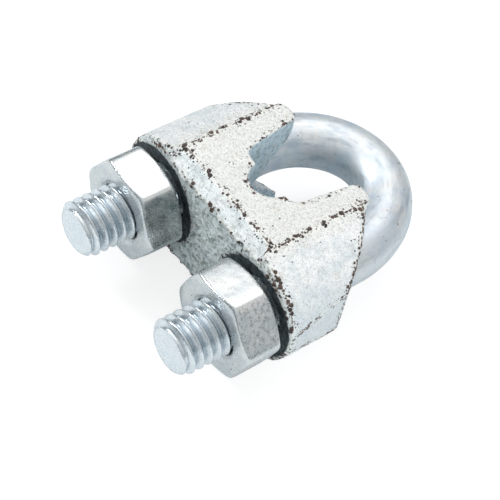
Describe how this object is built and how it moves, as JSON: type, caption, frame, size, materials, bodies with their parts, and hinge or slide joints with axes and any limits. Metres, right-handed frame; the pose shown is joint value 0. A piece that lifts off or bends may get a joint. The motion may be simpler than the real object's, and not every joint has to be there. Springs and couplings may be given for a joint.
{
  "type": "wire rope clip",
  "caption": "Wire rope clip: hex nuts draw a threaded U-bolt through a cast saddle, pinching the rope between the bow and a ridged, grooved seat between the saddle's arms",
  "frame": {"origin": "on the axis of a rope lying in the saddle's seat, halfway through the saddle's depth and midway between the legs", "axes": "+X from the left leg to the right leg, +Y from the nuts towards the bow, +Z along the rope and out of one flat side of the saddle"},
  "size_m": [0.0273, 0.0335, 0.014],
  "materials": {
    "zinc_bar": "bright zinc plate on round bar and cut thread",
    "zinc_casting": "zinc plate over rough sand casting, dark worn specks along the edges",
    "zinc_nut": "satin zinc plate"
  },
  "bodies": {
    "saddle": {"saddle": "zinc_casting"},
    "u_bolt": {"u_bolt": "zinc_bar"},
    "nut_left": {"nut_left": "zinc_nut"},
    "nut_right": {"nut_right": "zinc_nut"}
  },
  "joints": [
    {"name": "bolt_draw", "type": "slide", "parent": "saddle", "child": "u_bolt", "axis": [0, -1, 0], "range_m": [-0.0045, 0.002]},
    {"name": "nut_left_turn", "type": "hinge", "parent": "saddle", "child": "nut_left", "pos_m": [-0.0079, -0.01112, 0], "axis": [0, 1, 0], "range_deg": [-1621, 721]},
    {"name": "nut_right_turn", "type": "hinge", "parent": "saddle", "child": "nut_right", "pos_m": [0.0079, -0.01112, 0], "axis": [0, 1, 0], "range_deg": [-1621, 721]}
  ],
  "couplings": [
    {"joint": "nut_left_turn", "follows": "bolt_draw", "rad_per_m": 6283.2},
    {"joint": "nut_right_turn", "follows": "bolt_draw", "rad_per_m": 6283.2}
  ]
}
